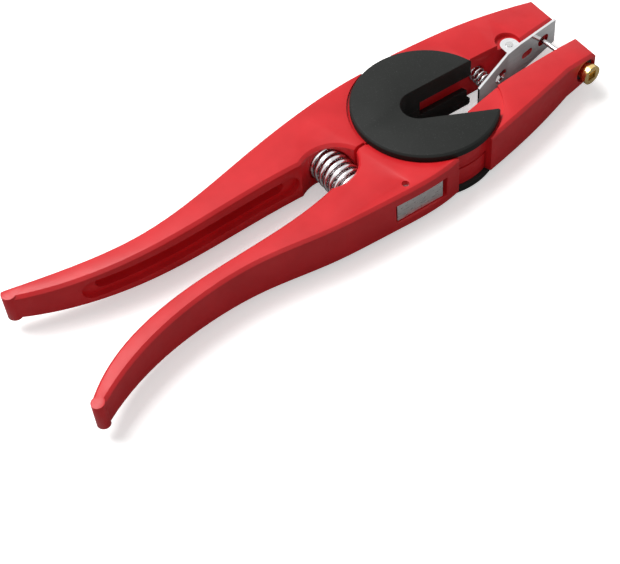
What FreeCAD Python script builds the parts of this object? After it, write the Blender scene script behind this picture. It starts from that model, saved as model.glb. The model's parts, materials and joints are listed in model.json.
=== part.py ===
"""Ear tag applicator: a livestock tagging plier, closed and lying on its side.

Frame, in millimetres: the hinge line is the Z axis and z = 0 is the surface that the plier lies
on. The jaws reach towards +X and the handles towards -X. The clip arm holds the +Y jaw and the
-Y handle. The pin arm crosses it, and turns about Z to open the plier.
"""

import FreeCAD, Part
import math
import os

V = FreeCAD.Vector
UP = V(0, 0, 1)

# --- driving dimensions ---------------------------------------------------------------------
# castings of the two arms
BODY_THICKNESS = 20.0       # at the hub
JAW_TIP_THICKNESS = 12.5    # at the front of the jaws
GRIP_TIP_THICKNESS = 12.0   # at the ends of the handles
FLAT_FRONT_X = 26.0         # the thickness tapers ahead of here
FLAT_REAR_X = -60.0         # and behind here
JAW_FRONT_X = 76.5
GRIP_END_X = -180.0
EDGE_BEVEL = 1.2            # on the outer edges of the castings

# hub
COVER_RADIUS = 30.0
COVER_PROUD = 2.4           # above the castings
COVER_INSET = 1.0           # into the castings
COVER_EDGE = 0.8            # bevel round the covers
COVER_GAP = 1.2             # from the rim of the covers to the castings
HUB_RADIUS = 28.4           # of the two lapped hub discs
CORE_RADIUS = 17.0          # of the clip arm's post, which the pin arm turns on
HUB_CLEARANCE = 0.3         # between the hub discs and the arms round them
CORE_CLEARANCE = 0.08       # running fit on the core
PLAY = 0.1                  # between sliding flat faces
WASHER_THICKNESS = 0.8
WASHER_WIDTH = 8.0
WASHER_START = 82.0         # angles that the wear washer reaches between, degrees
WASHER_END = 305.0

# angles of the arms' end faces round the hub, degrees
CLIP_JAW_END = 77.8
GRIP_FAR_END = 107.9
FAR_STOP = 183.2
NEAR_STOP = 185.6
GRIP_NEAR_END = 257.4
PIN_JAW_END = 288.8

# throat of the hub
THROAT_FAR_Y = 7.5          # inner face on the clip side
THROAT_END_X = -10.7        # its round end
THROAT_ROUND = 7.7
THROAT_SPREAD = 26.8        # angle of the edge on the pin side, degrees
LIP_THICKNESS = 2.6         # black wall round the throat
WINDOW_START_X = 3.0        # opening in that wall that shows the casting
WINDOW_HEIGHT = 7.5

# main spring
SPRING_X = -44.0
SPRING_FAR_Y = 8.6          # its two ends, in pockets in the handles
SPRING_NEAR_Y = -15.0
SPRING_COIL_RADIUS = 6.7    # of the wire's centre line
SPRING_WIRE = 1.9
SPRING_TURNS = 7
SPRING_POCKET_CLEARANCE = 0.5
WIRE_SIDES = 4              # flats that stand for the round wire of the springs

# hollow in the inner side of the far handle
HOLLOW_FRONT_X = -58.0
HOLLOW_REAR_X = -152.0
HOLLOW_HEIGHT = 9.0
HOLLOW_DEPTH = 2.5
POCKET_INSET = 6.0          # the deep pocket starts this far inside the hollow
POCKET_HEIGHT = 6.0
POCKET_DEPTH = 6.0

# lock in the near handle
LOCK_PIN_X = -31.0
LOCK_PIN_Y = -28.9
LOCK_PIN_RADIUS = 1.5
LOCK_PIN_RECESS = 2.0       # below the face of the casting
LOCK_WINDOW_REAR_X = -38.3
LOCK_WINDOW_FRONT_X = -13.6
LOCK_WINDOW_HEIGHT = 10.0
LOCK_FACE_Y = -32.0         # outer face of the lock plate
LOCK_PLATE_THICKNESS = 1.6
LOCK_CLEARANCE = 1.0        # round the plate in its window
LOCK_EAR_THICKNESS = 1.4
LOCK_EAR_RADIUS = 2.8
LOCK_FINGER_X = -19.5
LOCK_FINGER_WIDTH = 3.0
LOCK_SPRING_X = -25.0
LOCK_SPRING_RADIUS = 1.7
LOCK_SPRING_WIRE = 0.5
LOCK_SPRING_TURNS = 3

# applicator pin
PIN_X = 69.9                # where it leaves the jaw
PIN_Y = -4.2
PIN_TILT = 5.5              # from square to the X axis, degrees
PIN_RADIUS = 1.0
PIN_POINT = 2.0             # length of the point
PIN_REACH = 17.0            # free length
PIN_SHANK_RADIUS = 2.2
JAW_DEPTH_AT_PIN = 11.4     # from the inner to the outer face, along the pin
COUNTERBORE_RADIUS = 5.4
COUNTERBORE_DEPTH = 2.2
NUT_RADIUS = 4.4
NUT_PROUD = 4.2
NUT_FLANGE_HEIGHT = 1.8
NUT_NECK_RADIUS = 3.7
NUT_SOCKET_WIDTH = 4.0
NUT_SOCKET_DEPTH = 2.6
NUT_WASHER_THICKNESS = 0.9
PIN_ENTRY_RADIUS = 3.0      # bore in the clip jaw that takes the point
PIN_ENTRY_DEPTH = 9.0

# tag clip
CLIP_PIVOT_X = 50.0
CLIP_PIVOT_Y = 8.6
CLIP_PIN_RADIUS = 1.5
CLIP_WIDTH = 16.4           # across the ears
CLIP_SHEET = 1.0
CLIP_BEND_X = 46.0          # where the tail bends away from the gripping end
CLIP_BEND_Y = 4.2
CLIP_FRONT_X = 76.8
CLIP_REAR_X = 25.6
CLIP_FRONT_ANGLE = 11.5     # of the gripping end, degrees from the X axis
CLIP_REAR_ANGLE = 18.3      # of the tail
CLIP_NOSE_WIDTH = 12.0
CLIP_TAIL_WIDTH = 11.0
EAR_RADIUS = 3.9
EAR_NOTCH_RADIUS = 5.3
EAR_CLEARANCE = 0.4
CLIP_SPRING_X = 34.0
CLIP_SPRING_RADIUS = 3.0
CLIP_SPRING_WIRE = 0.9
CLIP_SPRING_TURNS = 4.5
CLIP_SPRING_POCKET = 3.0

# cover screws: angle and distance from the hinge line
SCREW_PLACES = ((110.0, 14.2), (230.0, 14.4), (60.0, 24.0), (34.0, 24.5))
SCREW_RADIUS = 1.1
SCREW_HEAD_RADIUS = 2.3
SCREW_HEAD_HEIGHT = 1.3
SCREW_SUNK = 0.4
SCREW_GRIP = 2.0            # length held in the upper cover

# outlines of the castings, from the hub outwards
CLIP_JAW_OUTER = ((6.8, 32.3), (25.7, 31.5), (43.6, 30.2), (61.3, 28.2), (JAW_FRONT_X, 26.2))
CLIP_JAW_HEEL = (55.0, 7.5)
CLIP_JAW_NOSE = (JAW_FRONT_X, 11.8)
PIN_JAW_OUTER = ((10.3, -29.8), (40.0, -23.2), (60.0, -17.6))
PIN_JAW_CORNER = (JAW_FRONT_X, -15.4)
PIN_JAW_NOSE = (JAW_FRONT_X, -3.6)
PIN_JAW_INNER = (28.7, -8.7)
PIN_WEB_EDGE = (0.0, -14.5)
FAR_GRIP_OUTER = ((-10.1, 31.0), (-41.0, 27.8), (-73.7, 20.6), (-105.7, 13.2), (-125.0, 11.5),
                  (-146.0, 13.6), (-174.5, 20.2))
FAR_GRIP_TIP = (-177.6, 17.4)
FAR_GRIP_INNER = ((-174.6, 14.4), (-154.0, 6.8), (-126.0, 2.4), (-92.0, 2.9), (-57.0, 3.8))
FAR_WELL = ((-57.0, 3.8), (-43.5, 5.2), (-36.0, -2.01))
NEAR_GRIP_OUTER = ((-6.8, -31.0), (-16.0, -32.6), (-40.0, -32.6), (-68.0, -30.9), (-95.0, -27.2),
                   (-121.0, -27.9), (-147.0, -33.7), (-170.0, -44.8))
NEAR_GRIP_TIP = (-174.6, -44.6)
NEAR_GRIP_INNER = ((-173.8, -41.6), (-155.5, -28.9), (-126.0, -20.9), (-98.0, -18.9), (-54.0, -13.2))
NEAR_WELL = ((-54.0, -13.2), (-40.2, -10.6), (-35.8, -3.51))

# --- worked out from them -------------------------------------------------------------------
BOTTOM = COVER_PROUD
TOP = BOTTOM + BODY_THICKNESS
MIDDLE = (BOTTOM + TOP) / 2
COVER_TOP = TOP + COVER_PROUD
RECESS_RADIUS = COVER_RADIUS + COVER_GAP
DISC_TOP = TOP - COVER_INSET - PLAY
DISC_BOTTOM = BOTTOM + COVER_INSET + PLAY
SEAT_TOP = DISC_TOP + PLAY
SEAT_BOTTOM = DISC_BOTTOM - PLAY
LOWER_DISC_TOP = MIDDLE - WASHER_THICKNESS / 2
WASHER_TOP = LOWER_DISC_TOP + WASHER_THICKNESS
UPPER_DISC_BOTTOM = WASHER_TOP + PLAY
WELL_RADIUS = HUB_RADIUS + HUB_CLEARANCE
THROAT_X = THROAT_END_X + THROAT_ROUND
THROAT_Y = THROAT_FAR_Y - THROAT_ROUND
CLIP_FACE_Y = THROAT_FAR_Y + LIP_THICKNESS
FAR = 250.0                 # longer than the tool, for cutting tools


# --- plain helpers --------------------------------------------------------------------------
def flat(point):
    return V(point[0], point[1], 0)


def line(start, end):
    return Part.makeLine(flat(start), flat(end))


def arc(start, middle, end):
    return Part.Arc(flat(start), flat(middle), flat(end)).toShape()


def curve(points):
    """A smooth edge through the points."""
    spline = Part.BSplineCurve()
    spline.interpolate([flat(p) for p in points])
    return spline.toShape()


def polar(radius, degrees):
    angle = math.radians(degrees)
    return (radius * math.cos(angle), radius * math.sin(angle))


def prism(edges, low, high):
    """A straight-sided solid on a closed outline."""
    face = Part.Face(Part.Wire(edges))
    face.translate(V(0, 0, low))
    return face.extrude(V(0, 0, high - low))


def polygon(points, low, high):
    corners = [flat(p) for p in points]
    return prism(Part.makePolygon(corners + corners[:1]).Edges, low, high)


def cylinder(radius, low, high, place=(0, 0)):
    return Part.makeCylinder(radius, high - low, V(place[0], place[1], low), UP)


def block(x0, x1, y0, y1, z0, z1):
    return Part.makeBox(x1 - x0, y1 - y0, z1 - z0, V(x0, y0, z0))


def sector(radius, start, end, low, high):
    """A wedge of a disc, anticlockwise from one angle to the other."""
    rim = arc(polar(radius, start), polar(radius, (start + end) / 2), polar(radius, end))
    return prism([line((0, 0), polar(radius, start)), rim, line(polar(radius, end), (0, 0))], low, high)


def coil(radius, wire, turns, start, end):
    """A coil spring from one point to another, with the wire's outside at both."""
    axis = end.sub(start)
    height = axis.Length - wire
    spine = Part.makeHelix(height / turns, height, radius)
    rim = [polar(wire / 2, corner * 360 / WIRE_SIDES) for corner in range(WIRE_SIDES + 1)]
    section = Part.makePolygon([V(radius + x, 0, z) for x, z in rim])
    spring = Part.Wire(spine).makePipeShell([section], True, True)
    spring.translate(V(0, 0, wire / 2))
    spring.Placement = FreeCAD.Placement(start, FreeCAD.Rotation(UP, axis)).multiply(spring.Placement)
    return spring


# --- shared forms ---------------------------------------------------------------------------
def side_taper():
    """The side profile of both castings: flat at the hub and thinner towards the ends."""
    front = (JAW_FRONT_X, JAW_TIP_THICKNESS / 2)
    rear = (GRIP_END_X, GRIP_TIP_THICKNESS / 2)
    half = BODY_THICKNESS / 2
    front_middle = (FLAT_FRONT_X + front[0]) / 2
    rear_middle = (FLAT_REAR_X + rear[0]) / 2
    front_sag = half - (half - front[1]) / 4
    rear_sag = half - (half - rear[1]) / 4

    def edges(sign):
        def at(x, z):
            return V(x, 0, MIDDLE + sign * z)

        return [
            Part.Arc(at(rear[0], rear[1]), at(rear_middle, rear_sag), at(FLAT_REAR_X, half)).toShape(),
            Part.makeLine(at(FLAT_REAR_X, half), at(FLAT_FRONT_X, half)),
            Part.Arc(at(FLAT_FRONT_X, half), at(front_middle, front_sag), at(*front)).toShape(),
        ]

    ends = [
        Part.makeLine(V(x, 0, MIDDLE - z), V(x, 0, MIDDLE + z))
        for x, z in (front, rear)
    ]
    outline = Part.Wire(Part.__sortEdges__(edges(1) + edges(-1) + ends))
    face = Part.Face(outline)
    face.translate(V(0, -FAR / 2, 0))
    return face.extrude(V(0, FAR, 0))


def throat(offset, low, high):
    """The open slot of the hub, widened by an offset."""
    radius = THROAT_ROUND + offset
    centre = V(THROAT_X, THROAT_Y, 0)
    spread = math.radians(-THROAT_SPREAD)
    along = V(math.cos(spread), math.sin(spread), 0)
    outward = V(along.y, -along.x, 0)
    far_start = centre + V(0, radius, 0)
    near_start = centre + outward * radius
    back = centre - V(radius, 0, 0)
    far_end = far_start + V(FAR, 0, 0)
    near_end = near_start + along * FAR
    edges = [
        Part.makeLine(far_end, far_start),
        Part.Arc(far_start, back, near_start).toShape(),
        Part.makeLine(near_start, near_end),
        Part.makeLine(near_end, far_end),
    ]
    return prism(edges, low, high)


def bevelled(solid):
    """The solid with the long edges of its two broad faces bevelled, away from the hub."""
    keep_clear = RECESS_RADIUS + 1
    edges = []
    for edge in solid.Edges:
        middle = edge.valueAt((edge.FirstParameter + edge.LastParameter) / 2)
        ends = [v.Point for v in edge.Vertexes]
        upright = len(ends) == 2 and abs(ends[0].z - ends[1].z) > BODY_THICKNESS / 4
        near_hub = any(math.hypot(p.x, p.y) < keep_clear for p in ends + [middle])
        if not upright and not near_hub and edge.Length > 8 * EDGE_BEVEL:
            edges.append(edge)
    return solid.makeChamfer(EDGE_BEVEL, edges)


def along_pin(distance, across=0.0):
    """A point on the applicator pin's axis, measured from where it leaves the jaw."""
    tilt = math.radians(PIN_TILT)
    x = PIN_X - distance * math.sin(tilt) + across * math.cos(tilt)
    y = PIN_Y + distance * math.cos(tilt) + across * math.sin(tilt)
    return V(x, y, MIDDLE)


PIN_AXIS = along_pin(1.0) - along_pin(0.0)


def pin_cylinder(radius, start, end):
    return Part.makeCylinder(radius, end - start, along_pin(start), PIN_AXIS)


# --- clip arm: +Y jaw, -Y handle, lower hub disc and core -------------------------------------
def clip_jaw():
    corner = CLIP_JAW_OUTER[-1]
    outer = curve(CLIP_JAW_OUTER)
    edges = [
        line((0, CLIP_FACE_Y), polar(CORE_RADIUS, CLIP_JAW_END)),
        line(polar(CORE_RADIUS, CLIP_JAW_END), CLIP_JAW_OUTER[0]),
        outer,
        line(corner, CLIP_JAW_NOSE),
        line(CLIP_JAW_NOSE, CLIP_JAW_HEEL),
        line(CLIP_JAW_HEEL, (CLIP_JAW_HEEL[0], CLIP_FACE_Y)),
        line((CLIP_JAW_HEEL[0], CLIP_FACE_Y), (0, CLIP_FACE_Y)),
    ]
    solid = prism(edges, BOTTOM - 1, TOP + 1).common(side_taper())
    return bevelled(solid)


def near_grip():
    edges = [
        line(polar(CORE_RADIUS, GRIP_NEAR_END), NEAR_GRIP_OUTER[0]),
        curve(NEAR_GRIP_OUTER),
        arc(NEAR_GRIP_OUTER[-1], NEAR_GRIP_TIP, NEAR_GRIP_INNER[0]),
        curve(NEAR_GRIP_INNER),
        arc(*NEAR_WELL),
        line(NEAR_WELL[-1], polar(CORE_RADIUS, NEAR_STOP)),
        line(polar(CORE_RADIUS, NEAR_STOP), polar(CORE_RADIUS, GRIP_NEAR_END)),
    ]
    solid = prism(edges, BOTTOM - 1, TOP + 1).common(side_taper())
    return bevelled(solid)


def lock_pocket():
    """Window, cavity and finger slot for the lock, and the bore for its cross pin."""
    half = LOCK_WINDOW_HEIGHT / 2
    inner = LOCK_EAR_RADIUS + LOCK_CLEARANCE / 2
    window = block(LOCK_WINDOW_REAR_X, LOCK_WINDOW_FRONT_X, -FAR / 2, LOCK_PIN_Y + inner,
                   MIDDLE - half, MIDDLE + half)
    finger = block(LOCK_FINGER_X - LOCK_FINGER_WIDTH, LOCK_FINGER_X + LOCK_FINGER_WIDTH,
                   LOCK_PIN_Y, 0, MIDDLE, MIDDLE + half)
    bore = cylinder(LOCK_PIN_RADIUS, BOTTOM - 1, TOP + 1, (LOCK_PIN_X, LOCK_PIN_Y))
    return window.fuse([finger, bore])


def spring_pocket():
    radius = SPRING_COIL_RADIUS + SPRING_WIRE / 2 + SPRING_POCKET_CLEARANCE
    length = SPRING_FAR_Y - SPRING_NEAR_Y
    return Part.makeCylinder(radius, length, V(SPRING_X, SPRING_NEAR_Y, MIDDLE), V(0, 1, 0))


def ear_notches():
    """Recesses for the clip's ears in both sides of the clip jaw, and the bore for its pin."""
    place = (CLIP_PIVOT_X, CLIP_PIVOT_Y + EAR_NOTCH_RADIUS - EAR_RADIUS)
    level = CLIP_WIDTH / 2 - CLIP_SHEET - EAR_CLEARANCE
    cuts = []
    for low, high in ((MIDDLE + level, TOP + 1), (BOTTOM - 1, MIDDLE - level)):
        cuts.append(cylinder(EAR_NOTCH_RADIUS, low, high, place))
        cuts.append(block(place[0] - EAR_NOTCH_RADIUS, place[0] + EAR_NOTCH_RADIUS,
                          0, place[1], low, high))
    cuts.append(cylinder(CLIP_PIN_RADIUS, BOTTOM - 1, TOP + 1, (CLIP_PIVOT_X, CLIP_PIVOT_Y)))
    return cuts


def clip_spring_pocket():
    radius = CLIP_SPRING_RADIUS + CLIP_SPRING_WIRE
    start = V(CLIP_SPRING_X, 0, MIDDLE)
    return Part.makeCylinder(radius, CLIP_FACE_Y + CLIP_SPRING_POCKET, start, V(0, 1, 0))


def screw_bores(low, high, radius):
    return [cylinder(radius, low, high, polar(distance, angle)) for angle, distance in SCREW_PLACES]


def clip_arm_casting():
    disc = cylinder(HUB_RADIUS, SEAT_BOTTOM, LOWER_DISC_TOP)
    core = cylinder(CORE_RADIUS, SEAT_BOTTOM, SEAT_TOP)
    upper_well = cylinder(WELL_RADIUS, LOWER_DISC_TOP, TOP + 1)
    grip = near_grip().cut(upper_well)
    solid = disc.fuse([core, grip, clip_jaw()])
    cuts = [
        throat(LIP_THICKNESS, BOTTOM - 1, TOP + 1).cut(block(RECESS_RADIUS, FAR * 2, -FAR, FAR, 0, TOP + 1)),
        cylinder(RECESS_RADIUS, SEAT_TOP, TOP + 1),
        cylinder(RECESS_RADIUS, BOTTOM - 1, SEAT_BOTTOM),
        lock_pocket(),
        spring_pocket(),
        clip_spring_pocket(),
        pin_cylinder(PIN_ENTRY_RADIUS, 0, PIN_REACH + PIN_ENTRY_DEPTH / 3),
    ]
    cuts += ear_notches()
    cuts += screw_bores(BOTTOM, SEAT_TOP, SCREW_RADIUS)
    return solid.cut(cuts)


def cover_plate(seat, face):
    """A bevelled disc between the hub and the outer face of a cover, open at the throat."""
    bevel = COVER_EDGE if face > seat else -COVER_EDGE
    corners = [V(0, 0, seat), V(COVER_RADIUS, 0, seat), V(COVER_RADIUS, 0, face - bevel),
               V(COVER_RADIUS - COVER_EDGE, 0, face), V(0, 0, face)]
    profile = Part.Face(Part.makePolygon(corners + corners[:1]))
    disc = profile.revolve(V(0, 0, 0), UP, 360)
    return disc.cut(throat(0, min(seat, face) - 1, max(seat, face) + 1))


def throat_lip(low, high, reach):
    """The wall of a cover that lines the throat, as far as the casting behind it goes."""
    lip = throat(LIP_THICKNESS, low, high).cut(throat(0, low, high))
    return lip.common(reach)


def lip_window():
    half = WINDOW_HEIGHT / 2
    return block(WINDOW_START_X, COVER_RADIUS + 1, 0, CLIP_FACE_Y + 1, MIDDLE - half, MIDDLE + half)


def top_cover():
    reach = cylinder(CORE_RADIUS, MIDDLE, SEAT_TOP).fuse(
        sector(COVER_RADIUS, 0, CLIP_JAW_END, MIDDLE, SEAT_TOP))
    lip = throat_lip(MIDDLE, SEAT_TOP, reach).cut(lip_window())
    solid = cover_plate(SEAT_TOP, COVER_TOP).fuse(lip)
    return solid.cut(screw_bores(SEAT_TOP, SEAT_TOP + SCREW_GRIP, SCREW_RADIUS))


def bottom_cover():
    lip = throat_lip(SEAT_BOTTOM, MIDDLE, cylinder(HUB_RADIUS, SEAT_BOTTOM, MIDDLE))
    above_disc = cylinder(COVER_RADIUS, LOWER_DISC_TOP, MIDDLE).cut(cylinder(CORE_RADIUS, LOWER_DISC_TOP, MIDDLE))
    near_side = above_disc.cut(block(0, FAR, 0, FAR, 0, TOP))
    lip = lip.cut([lip_window(), near_side])
    solid = cover_plate(SEAT_BOTTOM, 0).fuse(lip)
    head = SCREW_SUNK + SCREW_HEAD_HEIGHT
    cuts = screw_bores(0, head, SCREW_HEAD_RADIUS) + screw_bores(0, SEAT_BOTTOM, SCREW_RADIUS)
    return solid.cut(cuts)


def cover_screws():
    screws = []
    for angle, distance in SCREW_PLACES:
        place = polar(distance, angle)
        head_top = SCREW_SUNK + SCREW_HEAD_HEIGHT
        head = cylinder(SCREW_HEAD_RADIUS, SCREW_SUNK, head_top, place)
        shank = cylinder(SCREW_RADIUS, head_top, SEAT_TOP + SCREW_GRIP, place)
        screws.append(head.fuse(shank))
    return Part.makeCompound(screws)


def hub_washer():
    middle = (CORE_RADIUS + HUB_RADIUS) / 2
    outer = cylinder(middle + WASHER_WIDTH / 2, LOWER_DISC_TOP, WASHER_TOP)
    ring = outer.cut(cylinder(middle - WASHER_WIDTH / 2, LOWER_DISC_TOP, WASHER_TOP))
    return ring.common(sector(COVER_RADIUS, WASHER_START, WASHER_END, BOTTOM, TOP))


def lock_pin():
    low = BOTTOM + LOCK_PIN_RECESS
    return cylinder(LOCK_PIN_RADIUS, low, TOP - LOCK_PIN_RECESS, (LOCK_PIN_X, LOCK_PIN_Y))


def lock_plate():
    """A folded plate: outer face, two ears on the cross pin and a finger towards the hub."""
    rear = LOCK_WINDOW_REAR_X + LOCK_CLEARANCE
    front = LOCK_WINDOW_FRONT_X - LOCK_CLEARANCE * 2
    half = LOCK_WINDOW_HEIGHT / 2 - LOCK_CLEARANCE / 2
    inner_y = LOCK_FACE_Y + LOCK_PLATE_THICKNESS
    plate = block(rear, front, LOCK_FACE_Y, inner_y, MIDDLE - half, MIDDLE + half)
    pieces = []
    for low in (MIDDLE - half, MIDDLE + half - LOCK_EAR_THICKNESS):
        high = low + LOCK_EAR_THICKNESS
        pieces.append(cylinder(LOCK_EAR_RADIUS, low, high, (LOCK_PIN_X, LOCK_PIN_Y)))
        pieces.append(block(LOCK_PIN_X - LOCK_EAR_RADIUS, LOCK_PIN_X + LOCK_EAR_RADIUS,
                            inner_y, LOCK_PIN_Y, low, high))
    front = LOCK_FINGER_X + LOCK_FINGER_WIDTH / 2
    tip = -math.sqrt(WELL_RADIUS ** 2 - front ** 2) - LOCK_CLEARANCE
    pieces.append(block(LOCK_FINGER_X - LOCK_FINGER_WIDTH / 2, LOCK_FINGER_X + LOCK_FINGER_WIDTH / 2,
                        inner_y, tip, MIDDLE + half - LOCK_EAR_THICKNESS - LOCK_CLEARANCE, MIDDLE + half - LOCK_CLEARANCE))
    bore = cylinder(LOCK_PIN_RADIUS + CORE_CLEARANCE, BOTTOM, TOP, (LOCK_PIN_X, LOCK_PIN_Y))
    return plate.fuse(pieces).cut(bore)


def lock_spring():
    floor = LOCK_PIN_Y + LOCK_EAR_RADIUS + LOCK_CLEARANCE / 2
    start = V(LOCK_SPRING_X, LOCK_FACE_Y + LOCK_PLATE_THICKNESS, MIDDLE)
    return coil(LOCK_SPRING_RADIUS, LOCK_SPRING_WIRE, LOCK_SPRING_TURNS, start, V(LOCK_SPRING_X, floor, MIDDLE))


def main_spring():
    start = V(SPRING_X, SPRING_NEAR_Y, MIDDLE)
    return coil(SPRING_COIL_RADIUS, SPRING_WIRE, SPRING_TURNS, start, V(SPRING_X, SPRING_FAR_Y, MIDDLE))


# --- pin arm: -Y jaw, +Y handle and upper hub disc --------------------------------------------
def pin_jaw():
    edges = [
        line(PIN_WEB_EDGE, polar(CORE_RADIUS, PIN_JAW_END)),
        line(polar(CORE_RADIUS, PIN_JAW_END), PIN_JAW_OUTER[0]),
        curve(PIN_JAW_OUTER),
        line(PIN_JAW_OUTER[-1], PIN_JAW_CORNER),
        line(PIN_JAW_CORNER, PIN_JAW_NOSE),
        line(PIN_JAW_NOSE, PIN_JAW_INNER),
        line(PIN_JAW_INNER, PIN_WEB_EDGE),
    ]
    solid = prism(edges, BOTTOM - 1, TOP + 1).common(side_taper())
    return bevelled(solid)


def far_grip():
    edges = [
        line(polar(CORE_RADIUS, GRIP_FAR_END), FAR_GRIP_OUTER[0]),
        curve(FAR_GRIP_OUTER),
        arc(FAR_GRIP_OUTER[-1], FAR_GRIP_TIP, FAR_GRIP_INNER[0]),
        curve(FAR_GRIP_INNER),
        arc(*FAR_WELL),
        line(FAR_WELL[-1], polar(CORE_RADIUS, FAR_STOP)),
        line(polar(CORE_RADIUS, FAR_STOP), polar(CORE_RADIUS, GRIP_FAR_END)),
    ]
    solid = prism(edges, BOTTOM - 1, TOP + 1).common(side_taper())
    return bevelled(solid)


def grip_hollow(inset, height, depth):
    """A long round-ended recess that follows the inner side of the far handle."""
    rear = HOLLOW_REAR_X + inset
    front = HOLLOW_FRONT_X - inset
    radius = height / 2
    slot = block(rear + radius, front - radius, -FAR / 2, FAR / 2, MIDDLE - radius, MIDDLE + radius)
    ends = [Part.makeCylinder(radius, FAR, V(x, -FAR / 2, MIDDLE), V(0, 1, 0))
            for x in (rear + radius, front - radius)]
    inner = curve(FAR_GRIP_INNER)
    start = inner.valueAt(inner.FirstParameter)
    end = inner.valueAt(inner.LastParameter)
    low = V(0, -HOLLOW_HEIGHT, 0)
    high = V(0, depth, 0)
    raised = inner.translated(high)
    edges = [raised, Part.makeLine(end + high, end + low), Part.makeLine(end + low, start + low),
             Part.makeLine(start + low, start + high)]
    return slot.fuse(ends).common(prism(edges, BOTTOM, TOP))


def pin_arm_casting():
    ring = cylinder(HUB_RADIUS, UPPER_DISC_BOTTOM, DISC_TOP)
    open_side = polygon([PIN_WEB_EDGE, PIN_JAW_INNER, (FAR, 0), (FAR, FAR), polar(FAR, GRIP_FAR_END), (0, 0)],
                        BOTTOM, TOP)
    lower_well = cylinder(WELL_RADIUS, BOTTOM - 1, UPPER_DISC_BOTTOM)
    arms = [pin_jaw().cut(lower_well), far_grip().cut(lower_well)]
    solid = ring.cut(open_side).fuse(arms)
    cuts = [
        cylinder(CORE_RADIUS + CORE_CLEARANCE, BOTTOM - 1, TOP + 1),
        cylinder(RECESS_RADIUS, DISC_TOP, TOP + 1),
        cylinder(RECESS_RADIUS, BOTTOM - 1, DISC_BOTTOM),
        spring_pocket(),
        grip_hollow(0, HOLLOW_HEIGHT, HOLLOW_DEPTH),
        grip_hollow(POCKET_INSET, POCKET_HEIGHT, POCKET_DEPTH),
        pin_cylinder(PIN_SHANK_RADIUS, -JAW_DEPTH_AT_PIN - 1, 1),
        pin_cylinder(COUNTERBORE_RADIUS, -JAW_DEPTH_AT_PIN - 2, COUNTERBORE_DEPTH - JAW_DEPTH_AT_PIN),
    ]
    return solid.cut(cuts)


def applicator_pin():
    """A stepped steel pin: threaded shank in the jaw, slim shaft and point towards the clip."""
    shank_start = NUT_SOCKET_DEPTH - JAW_DEPTH_AT_PIN - NUT_PROUD
    shank = pin_cylinder(PIN_SHANK_RADIUS, shank_start, 0)
    shaft = pin_cylinder(PIN_RADIUS, 0, PIN_REACH - PIN_POINT)
    point = Part.makeCone(PIN_RADIUS, PIN_RADIUS / 4, PIN_POINT, along_pin(PIN_REACH - PIN_POINT), PIN_AXIS)
    return shank.fuse([shaft, point])


def nut_washer():
    floor = COUNTERBORE_DEPTH - JAW_DEPTH_AT_PIN
    ring = pin_cylinder(COUNTERBORE_RADIUS - 0.2, floor - NUT_WASHER_THICKNESS, floor)
    return ring.cut(pin_cylinder(PIN_SHANK_RADIUS, floor - NUT_WASHER_THICKNESS, floor))


def pin_nut():
    """A brass nut with a flanged end and a square socket."""
    seat = COUNTERBORE_DEPTH - JAW_DEPTH_AT_PIN - NUT_WASHER_THICKNESS
    end = -JAW_DEPTH_AT_PIN - NUT_PROUD
    neck = pin_cylinder(NUT_NECK_RADIUS, end, seat)
    flange = pin_cylinder(NUT_RADIUS, end, end + NUT_FLANGE_HEIGHT)
    half = NUT_SOCKET_WIDTH / 2
    socket = Part.makeBox(NUT_SOCKET_WIDTH, NUT_SOCKET_DEPTH, NUT_SOCKET_WIDTH, V(-half, 0, -half))
    socket.Placement = FreeCAD.Placement(along_pin(end), FreeCAD.Rotation(V(0, 1, 0), PIN_AXIS))
    bore = pin_cylinder(PIN_SHANK_RADIUS, end + NUT_SOCKET_DEPTH, seat)
    return neck.fuse(flange).cut([socket, bore])


# --- tag clip ---------------------------------------------------------------------------------
def clip_line(x):
    """Height of the clip's gripping face above the X axis."""
    angle = CLIP_FRONT_ANGLE if x > CLIP_BEND_X else CLIP_REAR_ANGLE
    return CLIP_BEND_Y + (x - CLIP_BEND_X) * math.tan(math.radians(angle))


def clip_side_form():
    """The clip's outline seen from between the jaws: widest at its ears."""
    half = CLIP_WIDTH / 2
    upper = [(CLIP_REAR_X, CLIP_TAIL_WIDTH / 2), (CLIP_PIVOT_X - EAR_RADIUS, half),
             (CLIP_PIVOT_X + EAR_RADIUS, half), (CLIP_FRONT_X, CLIP_NOSE_WIDTH / 2)]
    outline = upper + [(x, -z) for x, z in reversed(upper)]
    corners = [V(x, -CLIP_WIDTH, MIDDLE + z) for x, z in outline]
    return Part.Face(Part.makePolygon(corners + corners[:1])).extrude(V(0, 2 * CLIP_WIDTH, 0))


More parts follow.
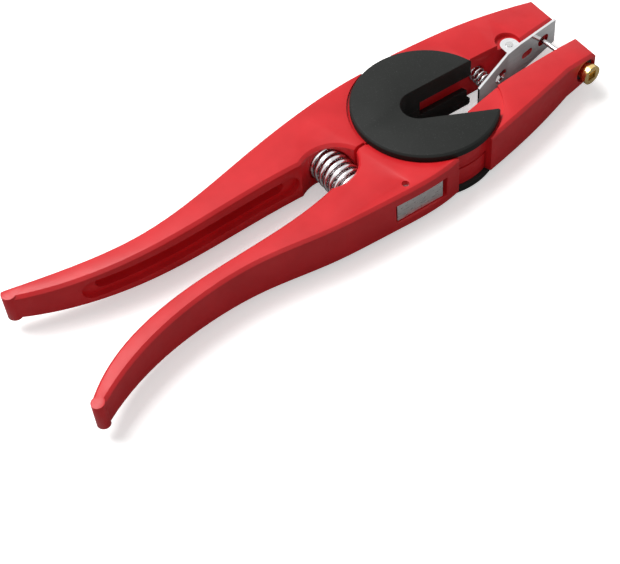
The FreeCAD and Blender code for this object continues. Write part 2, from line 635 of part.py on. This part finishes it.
def clip_plate():
    """A bent sheet with two ears on the pivot pin, a hole for the pin and lightening holes."""
    rear = (CLIP_REAR_X, clip_line(CLIP_REAR_X))
    bend = (CLIP_BEND_X, CLIP_BEND_Y)
    front = (CLIP_FRONT_X, clip_line(CLIP_FRONT_X))
    back = CLIP_SHEET / math.cos(math.radians(CLIP_REAR_ANGLE))
    outline = [rear, bend, front] + [(x, y + back) for x, y in (front, bend, rear)]
    half = CLIP_WIDTH / 2
    sheet = polygon(outline, MIDDLE - half, MIDDLE + half).common(clip_side_form())
    pieces = []
    for low in (MIDDLE - half, MIDDLE + half - CLIP_SHEET):
        high = low + CLIP_SHEET
        ear_rear = CLIP_PIVOT_X - EAR_RADIUS
        ear_front = CLIP_PIVOT_X + EAR_RADIUS
        crown = cylinder(EAR_RADIUS, low, high, (CLIP_PIVOT_X, CLIP_PIVOT_Y))
        pieces.append(crown.common(block(ear_rear, ear_front, CLIP_PIVOT_Y, TOP, low, high)))
        inside = CLIP_SHEET / 2
        web = [(ear_rear, clip_line(ear_rear) + inside), (ear_front, clip_line(ear_front) + inside),
               (ear_front, CLIP_PIVOT_Y), (ear_rear, CLIP_PIVOT_Y)]
        pieces.append(polygon(web, low, high))
    cuts = [
        cylinder(CLIP_PIN_RADIUS + CORE_CLEARANCE, BOTTOM, TOP, (CLIP_PIVOT_X, CLIP_PIVOT_Y)),
        clip_hole(69.0, 6.6, 4.6),
        clip_hole(58.4, 6.6, 3.0),
        clip_hole(41.0, 7.4, 4.6),
    ]
    return sheet.fuse(pieces).cut(cuts)


def clip_hole(x, length, width):
    """A round-ended hole through the clip's sheet."""
    radius = width / 2
    reach = (length - width) / 2
    ends = [Part.makeCylinder(radius, CLIP_WIDTH * 2, V(x + side * reach, -CLIP_WIDTH, MIDDLE), V(0, 1, 0))
            for side in (-1, 1)]
    middle = block(x - reach, x + reach, -CLIP_WIDTH, CLIP_WIDTH, MIDDLE - radius, MIDDLE + radius)
    return middle.fuse(ends)


def clip_pivot_pin():
    half = CLIP_WIDTH / 2 + CLIP_SHEET / 4
    return cylinder(CLIP_PIN_RADIUS, MIDDLE - half, MIDDLE + half, (CLIP_PIVOT_X, CLIP_PIVOT_Y))


def clip_spring():
    back = CLIP_SHEET / math.cos(math.radians(CLIP_REAR_ANGLE))
    reach = CLIP_SPRING_RADIUS * math.tan(math.radians(CLIP_REAR_ANGLE))
    start = V(CLIP_SPRING_X, clip_line(CLIP_SPRING_X) + back + reach, MIDDLE)
    end = V(CLIP_SPRING_X, CLIP_FACE_Y + CLIP_SPRING_POCKET, MIDDLE)
    return coil(CLIP_SPRING_RADIUS, CLIP_SPRING_WIRE, CLIP_SPRING_TURNS, start, end)


NODES = {
    "clip_arm_casting": clip_arm_casting,
    "top_cover": top_cover,
    "bottom_cover": bottom_cover,
    "cover_screws": cover_screws,
    "hub_washer": hub_washer,
    "lock_pin": lock_pin,
    "lock_plate": lock_plate,
    "lock_spring": lock_spring,
    "main_spring": main_spring,
    "pin_arm_casting": pin_arm_casting,
    "applicator_pin": applicator_pin,
    "nut_washer": nut_washer,
    "pin_nut": pin_nut,
    "clip_plate": clip_plate,
    "clip_pivot_pin": clip_pivot_pin,
    "clip_spring": clip_spring,
}


def main():
    os.makedirs("parts", exist_ok=True)
    for name, make in NODES.items():
        shape = make()
        if not shape.isValid() or not shape.Solids:
            print("check", name)
        print(name, len(shape.Solids), round(shape.Volume), shape.BoundBox)
        shape.exportStep(f"parts/{name}.step")


main()
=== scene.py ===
# %% [markdown]
# # Dressing an ear tag applicator
# The plier's solids come from CAD. This file loads them as a fixed frame, gives each one its
# finish, and adds what CAD left plain. The work goes from the outside in: first the view and
# the light, then the two painted arms, the black hub, the springs, the lock, the pin and the clip.

# %% Load the frame
import json
import math

import bpy
from mathutils import Matrix, Vector

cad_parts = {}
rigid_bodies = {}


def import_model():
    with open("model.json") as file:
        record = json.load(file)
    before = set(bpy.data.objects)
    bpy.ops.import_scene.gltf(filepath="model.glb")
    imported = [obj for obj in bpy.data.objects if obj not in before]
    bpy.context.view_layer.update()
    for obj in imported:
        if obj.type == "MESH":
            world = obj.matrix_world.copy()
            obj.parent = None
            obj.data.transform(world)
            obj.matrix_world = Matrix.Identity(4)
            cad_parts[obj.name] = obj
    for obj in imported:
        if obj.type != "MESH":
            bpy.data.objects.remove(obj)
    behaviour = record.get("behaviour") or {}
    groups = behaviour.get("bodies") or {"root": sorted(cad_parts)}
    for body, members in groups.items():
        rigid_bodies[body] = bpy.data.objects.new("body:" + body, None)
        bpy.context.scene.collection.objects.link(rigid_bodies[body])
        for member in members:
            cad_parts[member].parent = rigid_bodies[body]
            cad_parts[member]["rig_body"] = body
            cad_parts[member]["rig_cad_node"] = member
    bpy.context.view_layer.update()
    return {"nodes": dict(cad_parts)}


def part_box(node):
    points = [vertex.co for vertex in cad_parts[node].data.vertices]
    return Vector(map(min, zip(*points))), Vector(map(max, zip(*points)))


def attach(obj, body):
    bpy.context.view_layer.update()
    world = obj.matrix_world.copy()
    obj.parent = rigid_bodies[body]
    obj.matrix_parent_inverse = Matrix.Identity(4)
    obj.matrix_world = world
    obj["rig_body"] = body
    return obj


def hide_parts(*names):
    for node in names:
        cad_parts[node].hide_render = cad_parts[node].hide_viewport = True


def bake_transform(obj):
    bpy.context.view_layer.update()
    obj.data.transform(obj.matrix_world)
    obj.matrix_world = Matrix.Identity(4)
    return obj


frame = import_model()
nodes = frame["nodes"]
mm = 0.001

# %% [markdown]
# ## The view
# A camera is placed by the three directions it looks along: its right, its up, and the way back
# from the subject. Written as the columns of a matrix, they set the tilt and the roll at once,
# which is easier to keep exact than three angles. The lens is long, as for a product portrait,
# and a small shift slides the frame sideways without turning the camera.

# %% Camera
view_place = Vector((-253.53, -337.51, 443.16)) * mm
view_right = Vector((0.79790685, -0.60278023, -0.00081372))
view_up = Vector((0.47085546, 0.62243259, 0.62519822))
view_back = Vector((-0.37635064, -0.49923308, 0.78046558))

camera_data = bpy.data.cameras.new("camera")
camera_data.sensor_width = 36.0
camera_data.lens = 86.87
camera_data.shift_x = -0.1889
camera_data.shift_y = -0.0146
camera_data.clip_start = 0.01
camera_data.clip_end = 10.0
camera = bpy.data.objects.new("camera", camera_data)
camera.matrix_world = Matrix.Translation(view_place) @ Matrix(
    (view_right, view_up, view_back)).transposed().to_4x4()
bpy.context.scene.collection.objects.link(camera)
bpy.context.scene.camera = camera
bpy.context.scene.view_settings.view_transform = "Standard"
print("camera is", round((view_place - Vector((-0.05, 0, 0))).length, 3), "m away")

# %% [markdown]
# ## Helpers for materials
# A material is a small network of nodes. Most finishes here start the same way, so one helper
# makes the material with its shader and its Object coordinates, and another adds a noise
# pattern. The pattern's size is given in millimetres, which is how a maker would describe it.

# %% Material helpers
def new_finish(name):
    """A material with its Principled shader and the object's own coordinates."""
    finish = bpy.data.materials.new(name)
    finish.use_nodes = True
    tree = finish.node_tree
    shader = tree.nodes["Principled BSDF"]
    place = tree.nodes.new("ShaderNodeTexCoord")
    return finish, tree, shader, place.outputs["Object"]


def add_noise(tree, place, size_mm, detail=3.0, roughness=0.5):
    """A cloudy pattern with blobs of about the given size."""
    noise = tree.nodes.new("ShaderNodeTexNoise")
    noise.inputs["Scale"].default_value = 1.0 / (size_mm * mm)
    noise.inputs["Detail"].default_value = detail
    noise.inputs["Roughness"].default_value = roughness
    tree.links.new(place, noise.inputs["Vector"])
    return noise.outputs["Fac"]


def add_range(tree, value, low, high, to_low, to_high):
    """Stretches a pattern's values from one range to another."""
    stretch = tree.nodes.new("ShaderNodeMapRange")
    limits = (("From Min", low), ("From Max", high), ("To Min", to_low), ("To Max", to_high))
    for socket, number in limits:
        stretch.inputs[socket].default_value = number
    tree.links.new(value, stretch.inputs["Value"])
    return stretch.outputs["Result"]


def add_colours(tree, value, stops):
    """Turns a pattern into colours, by stops of (place, colour)."""
    ramp = tree.nodes.new("ShaderNodeValToRGB")
    points = ramp.color_ramp.elements
    for index, (place, colour) in enumerate(stops):
        point = points[index] if index < 2 else points.new(place)
        point.position = place
        point.color = (*colour, 1.0)
    tree.links.new(value, ramp.inputs["Fac"])
    return ramp.outputs["Color"]


def add_bump(tree, shader, height, depth_mm, strength=1.0):
    """Lets a pattern raise and lower the surface's shading."""
    bump = tree.nodes.new("ShaderNodeBump")
    bump.inputs["Strength"].default_value = strength
    bump.inputs["Distance"].default_value = depth_mm * mm
    tree.links.new(height, bump.inputs["Height"])
    tree.links.new(bump.outputs["Normal"], shader.inputs["Normal"])


# %% [markdown]
# ## Red paint
# The arms are die-cast alloy under a smooth red coat. Such paint is nearly even in colour, with
# a faint cloudiness, a very fine orange peel and a clear gloss on top. The cloudiness goes into
# the colour and the roughness, and the peel into a bump far below a tenth of a millimetre.

# %% Red paint
def make_red_paint():
    paint, tree, shader, place = new_finish("red_paint")
    cloud = add_noise(tree, place, 14.0)
    colour = add_colours(tree, cloud, ((0.3, (0.54, 0.011, 0.015)), (0.7, (0.63, 0.017, 0.022))))
    tree.links.new(colour, shader.inputs["Base Color"])
    smear = add_noise(tree, place, 3.0)
    tree.links.new(add_range(tree, smear, 0.3, 0.7, 0.34, 0.44), shader.inputs["Roughness"])
    peel = add_noise(tree, place, 0.5)
    add_bump(tree, shader, peel, 0.02, 0.3)
    shader.inputs["Specular IOR Level"].default_value = 0.26
    shader.inputs["Coat Weight"].default_value = 0.12
    shader.inputs["Coat Roughness"].default_value = 0.18
    return paint


red_paint = make_red_paint()
print("made", red_paint.name)

# %% [markdown]
# ## Softening the castings
# A casting has no sharp edges: the mould and the paint round them all. CAD gave the long edges a
# flat bevel, which catches light as a hard stripe. Here a copy of each arm is merged into one
# skin, and a Bevel modifier rounds whatever turns by more than a set angle. Copying keeps the
# outline, the bores and the recesses just as the CAD made them.

# %% Copy and soften an arm
def only(piece):
    """Selects one object and nothing else."""
    bpy.ops.object.select_all(action="DESELECT")
    piece.hide_viewport = False
    piece.select_set(True)
    bpy.context.view_layer.objects.active = piece


def soften(node, name, body, width_mm, segments=2, angle=24.0):
    """A copy of a CAD node with its edges rounded, which then stands for the node."""
    piece = nodes[node].copy()
    piece.data = nodes[node].data.copy()
    piece.name = name
    piece.parent = None
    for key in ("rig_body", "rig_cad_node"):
        if key in piece:
            del piece[key]
    piece.data.materials.clear()
    bpy.context.scene.collection.objects.link(piece)
    only(piece)
    bpy.ops.object.mode_set(mode="EDIT")
    bpy.ops.mesh.select_all(action="SELECT")
    bpy.ops.mesh.remove_doubles(threshold=0.002 * mm)
    bpy.ops.mesh.dissolve_limited(angle_limit=math.radians(0.5))
    bpy.ops.object.mode_set(mode="OBJECT")
    bevel = piece.modifiers.new("soft_edges", "BEVEL")
    bevel.width = width_mm * mm
    bevel.segments = segments
    bevel.limit_method = "ANGLE"
    bevel.angle_limit = math.radians(angle)
    bevel.use_clamp_overlap = True
    bevel.harden_normals = False
    bpy.ops.object.modifier_apply(modifier=bevel.name)
    bpy.ops.object.shade_smooth_by_angle(angle=math.radians(32.0))
    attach(piece, body)
    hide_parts(node)
    print(name, "faces:", len(piece.data.polygons))
    return piece


def finish_with(piece, material):
    """Gives a piece one material all over."""
    piece.data.materials.clear()
    piece.data.materials.append(material)


clip_arm = soften("clip_arm_casting", "clip_arm_body", "clip_arm", 0.5)
pin_arm = soften("pin_arm_casting", "pin_arm_body", "pin_arm", 0.5)
for arm in (clip_arm, pin_arm):
    finish_with(arm, red_paint)

# %% [markdown]
# ## Black covers
# The hub sits between two covers of glass-filled nylon, moulded in black. The surface is fine
# and slightly uneven, with tiny pale specks of dust and fibre, and its gloss is broad and weak.

# %% Black nylon
def make_black_nylon():
    nylon, tree, shader, place = new_finish("black_nylon")
    speck = add_noise(tree, place, 0.5, 2.0)
    colour = add_colours(tree, speck, ((0.62, (0.006, 0.007, 0.006)), (0.8, (0.03, 0.032, 0.031))))
    tree.links.new(colour, shader.inputs["Base Color"])
    cloud = add_noise(tree, place, 9.0)
    tree.links.new(add_range(tree, cloud, 0.3, 0.7, 0.5, 0.6), shader.inputs["Roughness"])
    shader.inputs["Specular IOR Level"].default_value = 0.22
    add_bump(tree, shader, add_noise(tree, place, 0.35), 0.03, 0.35)
    return nylon


black_nylon = make_black_nylon()
top_cover = soften("top_cover", "top_cover_body", "clip_arm", 0.35)
bottom_cover = soften("bottom_cover", "bottom_cover_body", "clip_arm", 0.35)
for cover in (top_cover, bottom_cover):
    finish_with(cover, black_nylon)

# %% [markdown]
# ## Bright metals
# Five metals show. The clip is polished and chromed, the lock plate and the cover screws are zinc
# plated, the pins are plain steel, the springs are drawn wire, and the nut is turned brass. All are
# fully metallic, and what tells them apart is how rough they are and the direction of their fine marks.

# %% Metals
def make_metal(name, colour, rough_low, rough_high, mark_mm, stretch=(1.0, 1.0, 1.0), bump_mm=0.004):
    """A metal with fine marks, stretched along an axis where a tool ran that way."""
    metal, tree, shader, place = new_finish(name)
    mapping = tree.nodes.new("ShaderNodeMapping")
    mapping.inputs["Scale"].default_value = stretch
    tree.links.new(place, mapping.inputs["Vector"])
    marks = add_noise(tree, mapping.outputs["Vector"], mark_mm, 4.0)
    darker = tuple(c * 0.88 for c in colour)
    tree.links.new(add_colours(tree, marks, ((0.3, darker), (0.65, colour))), shader.inputs["Base Color"])
    tree.links.new(add_range(tree, marks, 0.3, 0.7, rough_low, rough_high), shader.inputs["Roughness"])
    add_bump(tree, shader, marks, bump_mm, 0.5)
    shader.inputs["Metallic"].default_value = 1.0
    return metal


chrome = make_metal("chrome", (0.86, 0.86, 0.87), 0.05, 0.14, 1.2, (0.2, 1.0, 1.0), 0.002)
zinc = make_metal("zinc_plate", (0.78, 0.78, 0.77), 0.24, 0.4, 0.8, (0.3, 1.0, 1.0))
wire = make_metal("spring_wire", (0.72, 0.72, 0.73), 0.14, 0.26, 0.6)
steel = make_metal("pin_steel", (0.66, 0.66, 0.66), 0.2, 0.32, 0.4)
brass = make_metal("brass", (0.86, 0.62, 0.24), 0.16, 0.3, 0.5)
print("metals:", [m.name for m in (chrome, zinc, wire, steel, brass)])

# %% Plain plastics and rubber
def make_plain(name, colour, rough):
    plain, tree, shader, place = new_finish(name)
    cloud = add_noise(tree, place, 2.0)
    paler = tuple(min(1.0, c * 1.15) for c in colour)
    tree.links.new(add_colours(tree, cloud, ((0.35, colour), (0.65, paler))), shader.inputs["Base Color"])
    tree.links.new(add_range(tree, cloud, 0.3, 0.7, rough, rough + 0.12), shader.inputs["Roughness"])
    add_bump(tree, shader, cloud, 0.02, 0.3)
    return plain


washer_nylon = make_plain("washer_nylon", (0.78, 0.77, 0.72), 0.45)
dark_rubber = make_plain("dark_rubber", (0.02, 0.02, 0.02), 0.6)

for node, material in (
    ("cover_screws", zinc), ("hub_washer", washer_nylon), ("lock_pin", steel), ("lock_plate", zinc),
    ("applicator_pin", steel), ("nut_washer", dark_rubber), ("pin_nut", brass),
    ("clip_plate", chrome), ("clip_pivot_pin", steel),
):
    finish_with(nodes[node], material)

# %% [markdown]
# ## Springs
# A coil spring is one wire wound on a helix. A circle of wire is placed at the coil's radius and
# a Screw modifier sweeps it round while it climbs. The coil is made upright at the origin, then
# laid down along Y where it works, and the wire's two ends are closed.

# %% Wind a coil
def wind_coil(name, radius_mm, wire_mm, turns, low, high, x, z):
    """A coil along Y between two heights, in millimetres."""
    height = (high - low - wire_mm) * mm
    bpy.ops.object.select_all(action="DESELECT")
    bpy.ops.mesh.primitive_circle_add(
        vertices=14, radius=wire_mm / 2 * mm,
        location=(radius_mm * mm, 0, 0), rotation=(math.pi / 2, 0, 0),
    )
    piece = bpy.context.object
    piece.name = name
    bpy.ops.object.transform_apply(location=True, rotation=True, scale=True)
    screw = piece.modifiers.new("wind", "SCREW")
    screw.axis = "Z"
    screw.angle = 2 * math.pi * turns
    screw.screw_offset = height
    screw.steps = screw.render_steps = int(36 * turns)
    screw.use_merge_vertices = False
    bpy.ops.object.modifier_apply(modifier=screw.name)
    bpy.ops.object.mode_set(mode="EDIT")
    bpy.ops.mesh.select_all(action="DESELECT")
    bpy.ops.mesh.select_non_manifold()
    bpy.ops.mesh.edge_face_add()
    bpy.ops.mesh.select_all(action="SELECT")
    bpy.ops.mesh.normals_make_consistent(inside=False)
    bpy.ops.object.mode_set(mode="OBJECT")
    piece.rotation_euler = (-math.pi / 2, 0, 0)
    piece.location = (x * mm, (low + wire_mm / 2) * mm, z * mm)
    bpy.ops.object.transform_apply(location=True, rotation=True, scale=True)
    bpy.ops.object.shade_smooth_by_angle(angle=math.radians(40.0))
    finish_with(piece, wire)
    print(name, [round(v * 1000, 1) for v in piece.dimensions])
    return piece


middle_z = 12.4
main_spring = wind_coil("main_coil", 6.7, 1.9, 7.0, -15.0, 8.6, -44.0, middle_z)
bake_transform(main_spring)
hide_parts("main_spring")

clip_low, clip_high = (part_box("clip_spring")[end].y * 1000 for end in (0, 1))
clip_spring = wind_coil("clip_coil", 3.0, 0.9, 4.5, clip_low, clip_high, 34.0, middle_z)
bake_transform(clip_spring)
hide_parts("clip_spring")

lock_low, lock_high = (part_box("lock_spring")[end].y * 1000 for end in (0, 1))
lock_spring = wind_coil("lock_coil", 1.7, 0.5, 3.0, lock_low, lock_high, -25.0, middle_z)
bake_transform(lock_spring)
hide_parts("lock_spring")

# %% [markdown]
# ## Floor and light
# The plier lies on white paper. A big soft lamp above and behind gives the broad highlights, a
# weaker one fills from the front, and the world's even white does the rest. The camera sees the
# paper as nearly white without more light on the object: part of the paper's brightness is its
# own glow, which only the camera sees, and the rest takes the soft shadow. The
# room is bright to the camera and to metal, and dimmer in the light it gives matt faces.

# %% White paper
COLOUR_A, COLOUR_B, MIXED = 6, 7, 2      # the colour sockets of a Mix node


def make_paper():
    paper = bpy.data.materials.new("white_paper")
    paper.use_nodes = True
    tree = paper.node_tree
    shader = tree.nodes["Principled BSDF"]
    shader.inputs["Roughness"].default_value = 0.9
    shader.inputs["Specular IOR Level"].default_value = 0.1
    ray = tree.nodes.new("ShaderNodeLightPath")
    white = tree.nodes.new("ShaderNodeMix")
    white.data_type = "RGBA"
    white.inputs[COLOUR_A].default_value = (0.30, 0.30, 0.30, 1.0)
    white.inputs[COLOUR_B].default_value = (0.93, 0.93, 0.92, 1.0)
    tree.links.new(ray.outputs["Is Camera Ray"], white.inputs[0])
    tree.links.new(white.outputs[MIXED], shader.inputs["Base Color"])
    glow = tree.nodes.new("ShaderNodeMath")
    glow.operation = "MULTIPLY"
    glow.inputs[1].default_value = 0.45
    tree.links.new(ray.outputs["Is Camera Ray"], glow.inputs[0])
    shader.inputs["Emission Color"].default_value = (1.0, 1.0, 1.0, 1.0)
    tree.links.new(glow.outputs[0], shader.inputs["Emission Strength"])
    return paper


bpy.ops.object.select_all(action="DESELECT")
bpy.ops.mesh.primitive_plane_add(size=6.0, location=(0, 0, 0))
floor = bpy.context.object
floor.name = "floor"
finish_with(floor, make_paper())

world = bpy.data.worlds.new("white_room")
world.use_nodes = True
bpy.context.scene.world = world
sky = world.node_tree
background = sky.nodes["Background"]
background.inputs["Color"].default_value = (1.0, 1.0, 1.0, 1.0)
sky_ray = sky.nodes.new("ShaderNodeLightPath")
sky_level = sky.nodes.new("ShaderNodeMapRange")
sky_level.inputs["To Min"].default_value = 0.30
sky_level.inputs["To Max"].default_value = 1.0
sky_seen = sky.nodes.new("ShaderNodeMath")
sky_seen.operation = "MAXIMUM"
sky.links.new(sky_ray.outputs["Is Camera Ray"], sky_seen.inputs[0])
sky.links.new(sky_ray.outputs["Is Glossy Ray"], sky_seen.inputs[1])
sky.links.new(sky_seen.outputs[0], sky_level.inputs["Value"])
sky.links.new(sky_level.outputs["Result"], background.inputs["Strength"])


# %% Lamps
def add_lamp(name, place, aim, size, power):
    lamp = bpy.data.lights.new(name, "AREA")
    lamp.size = size
    lamp.energy = power
    holder = bpy.data.objects.new(name, lamp)
    holder.location = place
    holder.rotation_euler = (Vector(aim) - Vector(place)).to_track_quat("-Z", "Y").to_euler()
    bpy.context.scene.collection.objects.link(holder)
    print(name, power, "W")
    return holder


add_lamp("key", (-0.35, 0.55, 1.15), (-0.05, 0, 0), 0.8, 19.0)
add_lamp("fill", (-0.3, -1.1, 0.8), (-0.05, 0, 0), 0.8, 1.5)

# %% Finish
def plain(box):
    return [[float(v) for v in corner] for corner in box]
